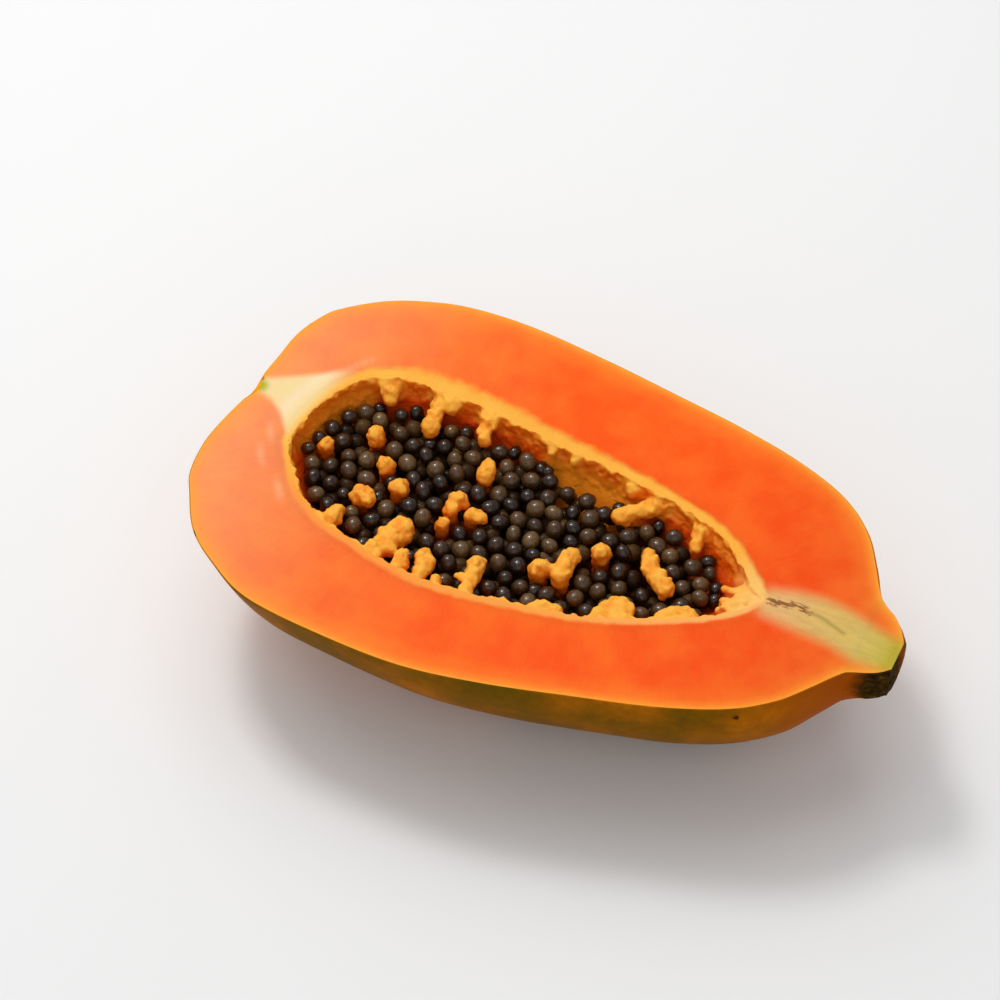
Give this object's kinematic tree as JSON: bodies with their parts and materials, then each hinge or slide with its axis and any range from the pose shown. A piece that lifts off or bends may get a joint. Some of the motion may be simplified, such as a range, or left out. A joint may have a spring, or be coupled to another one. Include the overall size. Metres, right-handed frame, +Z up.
{
  "type": "papaya half",
  "caption": "Ripe papaya half with round back, open seed cavity full of dark round seeds, pulp lumps at its rim and the stalk's stump.",
  "frame": {"origin": "on the surface the half lies on, under the middle of its length and width", "axes": "+X from the blossom end to the stem end, +Y to the far side in the picture, +Z up out of the cut face"},
  "size_m": [0.2298, 0.1388, 0.0586],
  "materials": {
    "flesh_and_skin": "satin",
    "seeds": "gloss",
    "stalk": "matte"
  },
  "bodies": {
    "root": {"fruit_half": "flesh_and_skin", "seeds": "seeds", "stem_stub": "stalk"}
  },
  "joints": []
}
